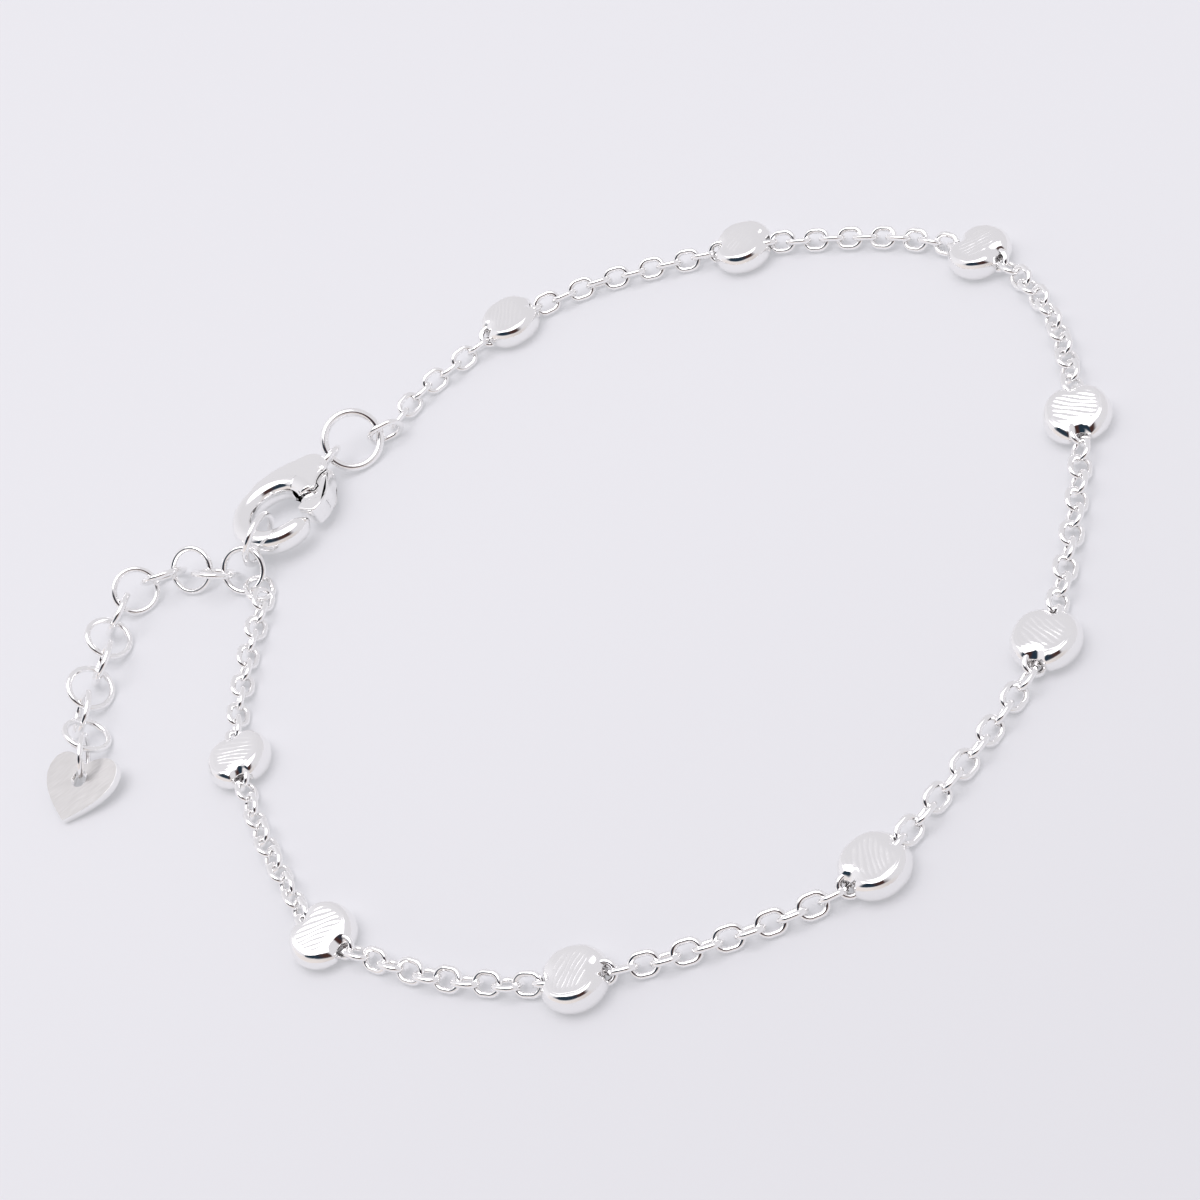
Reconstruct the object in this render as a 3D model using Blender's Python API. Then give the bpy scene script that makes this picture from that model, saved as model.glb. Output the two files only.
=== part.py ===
# Silver chain bracelet: nine pressed pillow beads strung on a fine cable chain, closed by a
# lobster clasp, with a short extender of round rings that ends in a plain heart tag.
# Metres, +Z up. The bracelet lies open on the surface z = 0 and the origin is the middle of
# its outline on that surface.
import bpy
import bmesh
from math import cos, pi, radians, sin
from mathutils import Matrix, Vector

# Beads: round, pressed flat on both faces, with a bite and a mouth at each chain end
BEAD_DIAMETER = 0.00410
BEAD_THICKNESS = 0.00170
BEAD_FACE_DIAMETER = 0.00320
BEAD_SIDES = 16
BEAD_RIM_STEPS = 5
BITE_DIAMETER = 0.0036
BITE_SIDES = 14
BITE_DEPTH = 0.00050
MOUTH_WIDTH = 0.00120
MOUTH_HEIGHT = 0.00080
MOUTH_DEPTH = 0.00050

# Fine cable chain: each run between two beads is one round strand of the chain's envelope
CHAIN_WIDTH = 0.00140
CHAIN_GAP = 0.00030
CHAIN_POINT_SPACING = 0.0030
CHAIN_STEPS = 2
FLOOR_GAP = 0.00002

# Wire rings and links
JUMP_RING_DIAMETER = 0.00420
JUMP_RING_WIRE = 0.00055
JUMP_RING_TURN = radians(-20)
END_LINK_LENGTH = 0.00260
END_LINK_WIDTH = 0.00200
END_LINK_WIRE = 0.00040
CONNECTING_RING_DIAMETER = 0.00380
CONNECTING_RING_WIRE = 0.00045
EXTENDER_RING_DIAMETER = 0.00320
EXTENDER_RING_WIRE = 0.00040
EXTENDER_RING_COUNT = 11
EXTENDER_PITCH = 0.00206
HEART_RING_DIAMETER = 0.00312
HEART_RING_WIRE = 0.00036
HEART_RING_LEAN = radians(70)
RING_POINTS = 14
RING_WIRE_STEPS = 1
RING_LEAN = radians(45)
RING_TOUCH = 0.00025

# Heart tag: a flat plate with a hole under its cleft
HEART_WIDTH = 0.0054
HEART_HEIGHT = 0.0044
HEART_THICKNESS = 0.0005
HEART_HOLE_DIAMETER = 0.0011
HEART_HOLE_SIDES = 12
HEART_HOLE_FROM_CLEFT = 0.00042
HEART_TILT = radians(14)
HEART_OUTLINE_POINTS = 20
HEART_LOBES = (13.0, 4.0, 1.5, 0.5)

# Lobster clasp, flat, lifted off the surface by the rings that it holds
CLASP_HOOK_DIAMETER = 0.0064
CLASP_HOLE_DIAMETER = 0.0034
CLASP_LENGTH = 0.0095
CLASP_THICKNESS = 0.0017
CLASP_NOSE_ANGLE = radians(284)
NECK_LOOP_HOLE = 0.00140
NECK_LOOP_WIRE = 0.00045
LEVER_WIDTH = 0.0009
LEVER_THICKNESS = 0.0011
LIFT_CLEARANCE = 0.00012
SECTION_SIDES = 10
SECTION_FULLNESS = 2.6
HOOK_FIRST_ANGLE = radians(62)
HOOK_STEPS = 11
NOSE_SHARES = (0.86, 0.5)

# Steps of a smooth route between two of its points, reach over which its direction is read, and
# angle from which an edge stays sharp
ROUTE_STEPS = 12
HEADING_REACH = 0.0004
SHARP_ANGLE = radians(50)

# Finishes: colour and roughness
POLISHED_FINISH = ((0.93, 0.92, 0.91), 0.12)
SATIN_FINISH = ((0.80, 0.79, 0.77), 0.35)

# The chain's route as it lies, from the one end link to the other. Each row is
# a point of the chain's axis, x and y, and the name of the bead strung there, if any.
CHAIN_ROUTE = [
    (-0.00437, 0.02510, ""),
    (-0.00262, 0.02620, ""),
    (-0.00042, 0.02680, ""),
    (0.00258, 0.02755, ""),
    (0.00485, 0.02796, "bead_1"),
    (0.00953, 0.02770, ""),
    (0.01458, 0.02590, ""),
    (0.02041, 0.02286, "bead_2"),
    (0.02373, 0.02075, ""),
    (0.02888, 0.01615, ""),
    (0.03220, 0.01098, "bead_3"),
    (0.03323, 0.00670, ""),
    (0.03278, 0.00120, ""),
    (0.03041, -0.00591, "bead_4"),
    (0.02848, -0.00980, ""),
    (0.02518, -0.01480, ""),
    (0.02119, -0.01995, "bead_5"),
    (0.01778, -0.02240, ""),
    (0.01338, -0.02490, ""),
    (0.00690, -0.02795, "bead_6"),
    (0.00278, -0.02810, ""),
    (-0.00382, -0.02675, ""),
    (-0.00981, -0.02476, "bead_7"),
    (-0.01322, -0.02270, ""),
    (-0.01732, -0.01900, ""),
    (-0.02160, -0.01310, "bead_8"),
    (-0.02247, -0.00890, ""),
    (-0.02292, -0.00200, ""),
    (-0.02254, 0.00317, "bead_9"),
    (-0.02182, 0.00650, ""),
    (-0.01992, 0.01100, ""),
    (-0.01862, 0.01340, ""),
    (-0.01772, 0.01510, ""),
]

# The extender's route, from the ring that the chain's end link holds to the last one
EXTENDER_ROUTE = [
    (-0.01792, 0.01828),
    (-0.01952, 0.01920),
    (-0.02092, 0.02080),
    (-0.02322, 0.02180),
    (-0.02552, 0.02160),
    (-0.02722, 0.01960),
    (-0.02872, 0.01670),
    (-0.02982, 0.01530),
    (-0.03082, 0.01350),
    (-0.03092, 0.01140),
]

CLASP_CENTRE = Vector((-0.01442, 0.02125))
CLASP_HEADING = radians(30)
CONNECTING_RING_ANGLE = radians(223.5)
CONNECTING_RING_LEAN = radians(68.6)
HEART_TOP = Vector((-0.03098, 0.00948))
HEART_HEADING = radians(223)
HEART_RING_CENTRE = Vector((-0.03144, 0.00949))
HEART_RING_HEADING = radians(249)

# The oval links between the chain's ends and the rings that hold them. Columns: name, bearing
# from the ring's centre, heading, lean, and clearance between the two wires where they cross.
END_LINKS = [
    ("end_link_1", radians(-5.2), radians(-3.1), radians(-72.9), 0.00034),
    ("end_link_2", radians(284.2), radians(87.3), radians(21.9), 0.00047),
]

# Sections of the clasp's body, from the neck along the spine to where the hook starts.
# Columns: along the clasp as a share of the way from the hook's centre to the neck loop's hole,
# across as a share of the hook's radius, width as a share of the hook's radius, thickness as a
# share of the clasp's thickness.
BODY_SECTIONS = [
    (1.02, 0.00, 0.34, 0.62),
    (0.97, 0.06, 0.42, 0.88),
    (0.88, 0.19, 0.60, 1.00),
    (0.75, 0.34, 0.70, 1.00),
    (0.60, 0.45, 0.74, 1.00),
    (0.45, 0.56, 0.66, 1.00),
]
# Sections of the lever, from its heel beside the neck to its tip inside the nose.
# Columns: along the clasp as a share of its length past the hook's centre, across as a share
# of the hook's radius, width and thickness as shares of the lever's own.
LEVER_SECTIONS = [
    (0.64, -0.25, 0.70, 0.80),
    (0.58, -0.39, 1.15, 1.00),
    (0.49, -0.53, 1.50, 1.00),
    (0.38, -0.63, 1.60, 1.00),
    (0.27, -0.68, 1.45, 1.00),
    (0.19, -0.62, 1.05, 1.00),
    (0.12, -0.46, 0.75, 1.00),
    (0.07, -0.39, 0.50, 0.70),
]


def clear_scene():
    """Remove every object that the file opened with."""
    for item in list(bpy.data.objects):
        bpy.data.objects.remove(item, do_unlink=True)


def silver(name, colour, roughness):
    """A metal finish of one colour."""
    material = bpy.data.materials.new(name)
    material.use_nodes = True
    shader = material.node_tree.nodes["Principled BSDF"]
    shader.inputs["Base Color"].default_value = (*colour, 1.0)
    shader.inputs["Metallic"].default_value = 1.0
    shader.inputs["Roughness"].default_value = roughness
    return material


def add_object(name, data, material, parent=None, place=None):
    """Link one named object with its own material."""
    item = bpy.data.objects.new(name, data)
    bpy.context.scene.collection.objects.link(item)
    if material is not None:
        if data.materials:
            item.material_slots[0].link = "OBJECT"
            item.material_slots[0].material = material
        else:
            data.materials.append(material)
    if parent is not None:
        item.parent = parent
    if place is not None:
        item.matrix_world = place
    return item


def mesh_from_bmesh(name, shape):
    """Turn a bmesh into a smooth-shaded mesh with outward faces."""
    bmesh.ops.recalc_face_normals(shape, faces=shape.faces)
    mesh = bpy.data.meshes.new(name)
    shape.to_mesh(mesh)
    shape.free()
    mesh.shade_smooth()
    mesh.set_sharp_from_angle(angle=SHARP_ANGLE)
    return mesh


def evaluated_mesh(name, item):
    """The mesh that an object's modifiers make."""
    bpy.context.view_layer.update()
    graph = bpy.context.evaluated_depsgraph_get()
    mesh = bpy.data.meshes.new_from_object(item.evaluated_get(graph))
    mesh.name = name
    return mesh


def hide_guide(item):
    """Mark a cutter as a guide that isn't part of the object."""
    item.hide_render = True
    item.display_type = "WIRE"


def join_or_cut(item, others, operation):
    """Add one exact Boolean for each other solid."""
    for other in others:
        modifier = item.modifiers.new(operation.lower(), "BOOLEAN")
        modifier.operation = operation
        modifier.solver = "EXACT"
        modifier.object = other


def catmull(points, steps):
    """A smooth curve through the points, each given as a Vector."""
    padded = [2 * points[0] - points[1]] + list(points) + [2 * points[-1] - points[-2]]
    curve = []
    for index in range(1, len(padded) - 2):
        before, start, end, after = padded[index - 1:index + 3]
        for step in range(steps):
            t = step / steps
            curve.append(0.5 * (2 * start + (end - before) * t
                                + (2 * before - 5 * start + 4 * end - after) * t ** 2
                                + (3 * start - before - 3 * end + after) * t ** 3))
    curve.append(points[-1].copy())
    return curve


class Route:
    """A smooth curve that can be read at any length along it."""

    def __init__(self, points):
        self.curve = catmull(points, ROUTE_STEPS)
        self.along = [0.0]
        for start, end in zip(self.curve, self.curve[1:]):
            self.along.append(self.along[-1] + (end - start).length)

    def at(self, length):
        """Point at a length along the curve."""
        index = 1
        while index < len(self.along) - 1 and self.along[index] < length:
            index += 1
        start, end = self.along[index - 1], self.along[index]
        share = (length - start) / (end - start)
        return self.curve[index - 1].lerp(self.curve[index], share)

    def heading(self, length, reach=HEADING_REACH):
        """Direction of travel at a length along the curve."""
        return (self.at(length + reach) - self.at(length - reach)).normalized()

    def length_of_point(self, number):
        """Length along the curve at one of its own points."""
        return self.along[number * ROUTE_STEPS]


def frame_at(place, along, lean):
    """Matrix with local X along a direction and local Y leaned up by an angle."""
    x_axis = Vector((along.x, along.y, 0.0)).normalized()
    side = Vector((-x_axis.y, x_axis.x, 0.0))
    y_axis = side * cos(lean) + Vector((0.0, 0.0, 1.0)) * sin(lean)
    z_axis = x_axis.cross(y_axis)
    turn = Matrix((x_axis, y_axis, z_axis)).transposed().to_4x4()
    return Matrix.Translation(place) @ turn


def wire_loop_curve(name, length, width, wire):
    """A closed loop of round wire: a circle, or an oval with straight sides."""
    radius = (width - wire) / 2
    straight = (length - width) / 2
    curve = bpy.data.curves.new(name, "CURVE")
    curve.dimensions = "3D"
    curve.bevel_depth = wire / 2
    curve.bevel_resolution = RING_WIRE_STEPS
    curve.use_fill_caps = True
    spline = curve.splines.new("POLY")
    spline.points.add(RING_POINTS - 1)
    for index, point in enumerate(spline.points):
        angle = 2 * pi * (index + 0.5) / RING_POINTS
        shift = straight if cos(angle) > 0 else -straight
        point.co = (radius * cos(angle) + shift, radius * sin(angle), 0.0, 1.0)
    spline.use_cyclic_u = True
    return curve


def strand(name, points, material, parent):
    """One run of fine chain as a round strand through the points."""
    curve = bpy.data.curves.new(name, "CURVE")
    curve.dimensions = "3D"
    curve.bevel_depth = CHAIN_WIDTH / 2
    curve.bevel_resolution = CHAIN_STEPS
    curve.use_fill_caps = True
    spline = curve.splines.new("POLY")
    spline.points.add(len(points) - 1)
    for target, point in zip(spline.points, points):
        target.co = (*point, 1.0)
    return add_object(name, curve, material, parent)


def revolve(profile, sides):
    """Closed solid turned about Z from (radius, height) points, top to bottom."""
    shape = bmesh.new()
    rings = []
    for radius, height in profile:
        ring = []
        for index in range(sides):
            angle = 2 * pi * (index + 0.5) / sides
            ring.append(shape.verts.new((radius * cos(angle), radius * sin(angle), height)))
        rings.append(ring)
    for upper, lower in zip(rings, rings[1:]):
        for index in range(sides):
            following = (index + 1) % sides
            shape.faces.new((upper[index], upper[following], lower[following], lower[index]))
    shape.faces.new(rings[0])
    shape.faces.new(rings[-1])
    return shape


def loft(sections):
    """Closed solid through rings of points, each ring given in order."""
    shape = bmesh.new()
    rings = [[shape.verts.new(point) for point in ring] for ring in sections]
    for first, second in zip(rings, rings[1:]):
        for index in range(len(first)):
            following = (index + 1) % len(first)
            shape.faces.new((first[index], first[following], second[following], second[index]))
    shape.faces.new(rings[0])
    shape.faces.new(rings[-1])
    return shape


def box_mesh(name, size):
    """A plain box about the origin."""
    shape = bmesh.new()
    bmesh.ops.create_cube(shape, size=1.0)
    bmesh.ops.scale(shape, vec=size, verts=shape.verts)
    return mesh_from_bmesh(name, shape)


def bead_mesh():
    """The pressed bead: flat faces, full rim, and a bite and a mouth at each chain end."""
    face = BEAD_FACE_DIAMETER / 2
    rim = BEAD_DIAMETER / 2 - face
    half = BEAD_THICKNESS / 2
    profile = []
    for step in range(BEAD_RIM_STEPS + 1):
        angle = pi / 2 - pi * step / BEAD_RIM_STEPS
        profile.append((face + rim * cos(angle), half * sin(angle)))
    blank = add_object("bead_blank", mesh_from_bmesh("bead_blank", revolve(profile, BEAD_SIDES)), None)
    cutters = []
    reach = BEAD_DIAMETER / 2 - BITE_DEPTH
    for side in (1, -1):
        bite_shape = revolve(((BITE_DIAMETER / 2, BEAD_THICKNESS), (BITE_DIAMETER / 2, -BEAD_THICKNESS)),
                             BITE_SIDES)
        bite_place = Matrix.Translation((side * (reach + BITE_DIAMETER / 2), 0.0, 0.0))
        cutters.append(add_object("bite", mesh_from_bmesh("bite", bite_shape), None, place=bite_place))
        mouth_size = (MOUTH_DEPTH + BITE_DIAMETER / 2, MOUTH_WIDTH, MOUTH_HEIGHT)
        mouth_middle = side * (reach - MOUTH_DEPTH + mouth_size[0] / 2)
        mouth_place = Matrix.Translation((mouth_middle, 0.0, 0.0))
        cutters.append(add_object("mouth", box_mesh("mouth", mouth_size), None, place=mouth_place))
    for cutter in cutters:
        hide_guide(cutter)
    join_or_cut(blank, cutters, "DIFFERENCE")
    mesh = evaluated_mesh("pressed_bead", blank)
    for item in [blank] + cutters:
        bpy.data.objects.remove(item, do_unlink=True)
    return mesh


def bead_lengths(route):
    """Length along the route of each named bead."""
    return [(name, route.length_of_point(number))
            for number, (_, _, name) in enumerate(CHAIN_ROUTE) if name]


def build_chain(parent, polished):
    """The beads on the route, and one strand of chain in each gap between them."""
    axis_height = CHAIN_WIDTH / 2 + FLOOR_GAP
    bead_height = BEAD_THICKNESS / 2
    points = [Vector((x, y, bead_height if name else axis_height)) for x, y, name in CHAIN_ROUTE]
    route = Route(points)
    beads = bead_lengths(route)
    mesh = bead_mesh()
    bead_reach = BEAD_DIAMETER / 2 - BITE_DEPTH + CHAIN_GAP
    starts = [0.0]
    ends = []
    leaving = [route.at(0.0)]
    arriving = []
    for name, length in beads:
        centre = route.at(length)
        heading = route.heading(length, bead_reach)
        add_object(name, mesh.copy(), polished, parent, frame_at(centre, heading, 0.0))
        ends.append(length - bead_reach)
        starts.append(length + bead_reach)
        level = Vector((heading.x, heading.y, 0.0)).normalized() * bead_reach
        arriving.append(centre - level)
        leaving.append(centre + level)
    ends.append(route.along[-1])
    arriving.append(route.at(ends[-1]))
    for number, (start, end) in enumerate(zip(starts, ends)):
        count = max(2, round((end - start) / CHAIN_POINT_SPACING) + 1)
        inner = [route.at(start + (end - start) * step / (count - 1)) for step in range(1, count - 1)]
        run = [leaving[number]] + inner + [arriving[number]]
        strand("chain_run_" + str(number), run, polished, parent)


def ring_height(diameter, wire, lean):
    """Height of a leaning ring's centre when its lowest point rests on the surface."""
    return (diameter - wire) / 2 * sin(abs(lean)) + wire / 2 + FLOOR_GAP


def build_end_fittings(parent, polished):
    """Jump ring, connecting ring and the oval link at each end of the chain."""
    jump_curve = wire_loop_curve("jump_ring_loop", JUMP_RING_DIAMETER, JUMP_RING_DIAMETER, JUMP_RING_WIRE)
    jump_radius = (JUMP_RING_DIAMETER - JUMP_RING_WIRE) / 2
    slack = (NECK_LOOP_HOLE - JUMP_RING_WIRE) / 2 - RING_TOUCH
    jump_heading = CLASP_HEADING + JUMP_RING_TURN
    jump_along = Vector((cos(jump_heading), sin(jump_heading), 0.0))
    jump_centre = clasp_point(neck_loop_distance(), 0.0) + jump_along * (jump_radius + slack)
    jump_centre.z = ring_height(JUMP_RING_DIAMETER, JUMP_RING_WIRE, RING_LEAN)
    add_object("jump_ring", jump_curve, polished, parent, frame_at(jump_centre, jump_along, RING_LEAN))
    joining_curve = wire_loop_curve("connecting_loop", CONNECTING_RING_DIAMETER,
                                    CONNECTING_RING_DIAMETER, CONNECTING_RING_WIRE)
    toward = Vector((cos(CONNECTING_RING_ANGLE), sin(CONNECTING_RING_ANGLE), 0.0))
    joining_centre = clasp_point(0.0, 0.0) + toward * hook_middle()
    joining_centre.z = ring_height(CONNECTING_RING_DIAMETER, CONNECTING_RING_WIRE, CONNECTING_RING_LEAN)
    add_object("connecting_ring", joining_curve, polished, parent,
               frame_at(joining_centre, toward, CONNECTING_RING_LEAN))
    link_curve = wire_loop_curve("end_link_loop", END_LINK_LENGTH, END_LINK_WIDTH, END_LINK_WIRE)
    first_ring = Vector((*EXTENDER_ROUTE[0], 0.0))
    for row, held_by, ring, wire in zip(END_LINKS, (jump_centre, first_ring),
                                        (JUMP_RING_DIAMETER, EXTENDER_RING_DIAMETER),
                                        (JUMP_RING_WIRE, EXTENDER_RING_WIRE)):
        name, bearing, heading, lean, clearance = row
        crossing = (wire + END_LINK_WIRE) / 2 + clearance
        distance = (ring - wire) / 2 - crossing + (END_LINK_LENGTH - END_LINK_WIRE) / 2
        centre = held_by + Vector((cos(bearing), sin(bearing), 0.0)) * distance
        centre.z = ring_height(END_LINK_WIDTH, END_LINK_WIRE, lean)
        along = Vector((cos(heading), sin(heading), 0.0))
        add_object(name, link_curve.copy(), polished, parent, frame_at(centre, along, lean))


def clasp_point(along, across):
    """World point of the clasp's own along and across distances, at its mid height."""
    middle = CONNECTING_RING_WIRE + LIFT_CLEARANCE + CLASP_THICKNESS / 2 + FLOOR_GAP
    x_axis = Vector((cos(CLASP_HEADING), sin(CLASP_HEADING), 0.0))
    y_axis = Vector((-x_axis.y, x_axis.x, 0.0))
    centre = Vector((CLASP_CENTRE.x, CLASP_CENTRE.y, middle))
    return centre + x_axis * along + y_axis * across


def hook_middle():
    """Radius of the hook's own middle line."""
    return (CLASP_HOOK_DIAMETER + CLASP_HOLE_DIAMETER) / 4


def neck_loop_distance():
    """Distance of the neck loop's centre from the hook's centre."""
    return CLASP_LENGTH - CLASP_HOOK_DIAMETER / 2 - NECK_LOOP_HOLE / 2 - NECK_LOOP_WIRE


def section_ring(centre, outward, width, thickness):
    """Points of one rounded section, standing across the path."""
    ring = []
    for index in range(SECTION_SIDES):
        angle = 2 * pi * index / SECTION_SIDES
        total = abs(cos(angle)) ** SECTION_FULLNESS + abs(sin(angle)) ** SECTION_FULLNESS
        fullness = total ** (-1 / SECTION_FULLNESS)
        sideways = outward * (width / 2 * cos(angle) * fullness)
        upward = Vector((0.0, 0.0, thickness / 2 * sin(angle) * fullness))
        ring.append(centre + sideways + upward)
    return ring


def path_normals(points):
    """Horizontal normal of the path at each of its points, to the left of travel."""
    normals = []
    for index in range(len(points)):
        before = points[max(0, index - 1)]
        after = points[min(len(points) - 1, index + 1)]
        along = (after - before).normalized()
        normals.append(Vector((-along.y, along.x, 0.0)))
    return normals


def clasp_body_rows():
    """Centre, width and thickness of each section, from the neck round to the nose."""
    hook = CLASP_HOOK_DIAMETER / 2
    spine = neck_loop_distance() - NECK_LOOP_HOLE / 2
    rows = [(clasp_point(along * spine, across * hook), width * hook, thickness * CLASP_THICKNESS)
            for along, across, width, thickness in BODY_SECTIONS]
    middle = hook_middle()
    wall = (CLASP_HOOK_DIAMETER - CLASP_HOLE_DIAMETER) / 2
    sweep = CLASP_NOSE_ANGLE - HOOK_FIRST_ANGLE
    shares = [1.0] * (HOOK_STEPS + 1 - len(NOSE_SHARES)) + list(NOSE_SHARES)
    for step, shrink in enumerate(shares):
        angle = HOOK_FIRST_ANGLE + sweep * step / HOOK_STEPS
        rows.append((clasp_point(middle * cos(angle), middle * sin(angle)), wall * shrink,
                     CLASP_THICKNESS * shrink))
    return rows


def lofted(name, rows):
    """Loft through rows of centre, width and thickness."""
    normals = path_normals([row[0] for row in rows])
    rings = [section_ring(centre, normal, width, thickness)
             for (centre, width, thickness), normal in zip(rows, normals)]
    return mesh_from_bmesh(name, loft(rings))


def build_clasp(parent, lever_pivot, polished):
    """Clasp body with its neck loop in one casting, and the lever on its pivot."""
    body = add_object("clasp_body", lofted("clasp_body", clasp_body_rows()), polished, parent)
    loop_size = NECK_LOOP_HOLE + 2 * NECK_LOOP_WIRE
    loop_curve = wire_loop_curve("neck_loop", loop_size, loop_size, NECK_LOOP_WIRE)
    along = Vector((cos(CLASP_HEADING), sin(CLASP_HEADING), 0.0))
    loop = add_object("neck_loop", loop_curve, None,
                      place=frame_at(clasp_point(neck_loop_distance(), 0.0), along, -RING_LEAN))
    loop_solid = add_object("neck_loop_solid", evaluated_mesh("neck_loop_solid", loop), None,
                            place=loop.matrix_world.copy())
    bpy.data.objects.remove(loop, do_unlink=True)
    hide_guide(loop_solid)
    join_or_cut(body, [loop_solid], "UNION")
    hook = CLASP_HOOK_DIAMETER / 2
    past = CLASP_LENGTH - hook
    rows = [(clasp_point(along_share * past, across * hook), width * LEVER_WIDTH,
             thickness * LEVER_THICKNESS)
            for along_share, across, width, thickness in LEVER_SECTIONS]
    mesh = lofted("clasp_lever", rows)
    mesh.transform(Matrix.Translation(-lever_pivot.location))
    add_object("clasp_lever", mesh, polished, lever_pivot, Matrix.Translation(lever_pivot.location))


def build_extender(parent, polished):
    """Round rings leaning left and right in turn along the extender's route."""
    lift = ring_height(EXTENDER_RING_DIAMETER, EXTENDER_RING_WIRE, RING_LEAN)
    route = Route([Vector((x, y, lift)) for x, y in EXTENDER_ROUTE])
    curve = wire_loop_curve("extender_loop", EXTENDER_RING_DIAMETER, EXTENDER_RING_DIAMETER,
                            EXTENDER_RING_WIRE)
    for number in range(EXTENDER_RING_COUNT):
        length = number * EXTENDER_PITCH
        lean = -RING_LEAN if number % 2 == 0 else RING_LEAN
        add_object("extender_ring_" + str(number + 1), curve.copy(), polished, parent,
                   frame_at(route.at(length), route.heading(length), lean))


def heart_height(t):
    """Height of the heart's outline at a turn of t, before it is scaled."""
    first, second, third, fourth = HEART_LOBES
    return first * cos(t) - second * cos(2 * t) - third * cos(3 * t) - fourth * cos(4 * t)


def heart_mesh():
    """Flat heart plate, with the middle of its top at the origin and its tip along +X."""
    turns = [2 * pi * step / HEART_OUTLINE_POINTS for step in range(HEART_OUTLINE_POINTS)]
    top = max(heart_height(t) for t in turns)
    scale = HEART_HEIGHT / (top - heart_height(pi))
    shape = bmesh.new()
    verts = [shape.verts.new(((top - heart_height(t)) * scale, sin(t) * abs(sin(t)) * HEART_WIDTH / 2, 0.0))
             for t in turns]
    face = shape.faces.new(verts)
    grown = bmesh.ops.extrude_face_region(shape, geom=[face])
    lifted = [item for item in grown["geom"] if isinstance(item, bmesh.types.BMVert)]
    bmesh.ops.translate(shape, vec=(0.0, 0.0, HEART_THICKNESS), verts=lifted)
    return mesh_from_bmesh("heart_plate", shape), (top - heart_height(0.0)) * scale


def build_heart(parent, polished, satin):
    """Heart tag propped on its small ring, which joins it to the extender's last ring."""
    mesh, cleft = heart_mesh()
    along = Vector((cos(HEART_HEADING), sin(HEART_HEADING), 0.0))
    rise = HEART_HEIGHT * sin(HEART_TILT) + FLOOR_GAP
    place = frame_at(Vector((*HEART_TOP, rise)), along, 0.0) @ Matrix.Rotation(HEART_TILT, 4, "Y")
    tag = add_object("heart_tag", mesh, satin, parent, place)
    hole_shape = revolve(((HEART_HOLE_DIAMETER / 2, HEART_THICKNESS * 2),
                          (HEART_HOLE_DIAMETER / 2, -HEART_THICKNESS * 2)), HEART_HOLE_SIDES)
    hole_distance = cleft + HEART_HOLE_FROM_CLEFT + HEART_HOLE_DIAMETER / 2
    hole_place = place @ Matrix.Translation((hole_distance, 0.0, 0.0))
    hole = add_object("heart_hole", mesh_from_bmesh("heart_hole", hole_shape), None, place=hole_place)
    hide_guide(hole)
    join_or_cut(tag, [hole], "DIFFERENCE")
    middle = Vector((*HEART_RING_CENTRE, ring_height(HEART_RING_DIAMETER, HEART_RING_WIRE, HEART_RING_LEAN)))
    toward = Vector((cos(HEART_RING_HEADING), sin(HEART_RING_HEADING), 0.0))
    curve = wire_loop_curve("heart_ring_loop", HEART_RING_DIAMETER, HEART_RING_DIAMETER, HEART_RING_WIRE)
    add_object("heart_ring", curve, polished, parent, frame_at(middle, toward, HEART_RING_LEAN))


def main():
    clear_scene()
    polished = silver("polished_silver", *POLISHED_FINISH)
    satin = silver("satin_silver", *SATIN_FINISH)
    bracelet = add_object("bracelet_frame", None, None)
    lever_pivot = add_object("lever_pivot", None, None)
    heel_along, heel_across = LEVER_SECTIONS[0][:2]
    hook = CLASP_HOOK_DIAMETER / 2
    lever_pivot.location = clasp_point(heel_along * (CLASP_LENGTH - hook), heel_across * hook)
    bpy.context.view_layer.update()
    build_chain(bracelet, polished)
    build_clasp(bracelet, lever_pivot, polished)
    build_end_fittings(bracelet, polished)
    build_extender(bracelet, polished)
    build_heart(bracelet, polished, satin)


main()
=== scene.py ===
import bpy
import bmesh
import numpy as np
from math import atan2, cos, pi, radians, sin
from mathutils import Matrix, Vector


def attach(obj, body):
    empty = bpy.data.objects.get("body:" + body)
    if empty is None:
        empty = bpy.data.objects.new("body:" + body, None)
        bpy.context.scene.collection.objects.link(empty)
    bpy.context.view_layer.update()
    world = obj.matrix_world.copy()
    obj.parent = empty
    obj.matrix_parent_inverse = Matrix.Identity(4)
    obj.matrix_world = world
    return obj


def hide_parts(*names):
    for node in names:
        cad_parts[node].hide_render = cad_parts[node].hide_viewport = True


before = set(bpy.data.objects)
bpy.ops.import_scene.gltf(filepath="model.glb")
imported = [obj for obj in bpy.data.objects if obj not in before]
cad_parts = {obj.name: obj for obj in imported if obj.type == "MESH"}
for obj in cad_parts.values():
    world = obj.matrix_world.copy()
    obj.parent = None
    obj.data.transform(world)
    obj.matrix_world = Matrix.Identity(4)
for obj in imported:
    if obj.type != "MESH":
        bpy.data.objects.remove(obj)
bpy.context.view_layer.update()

# The fine cable chain. Oval links of round drawn silver wire, each soldered shut and
# polished, hang one in the next and lie leaning to the left and to the right in turn.
# Nine beads are strung in it, so it is ten runs, each ending inside a bead's mouth.
MM = 0.001
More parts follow.
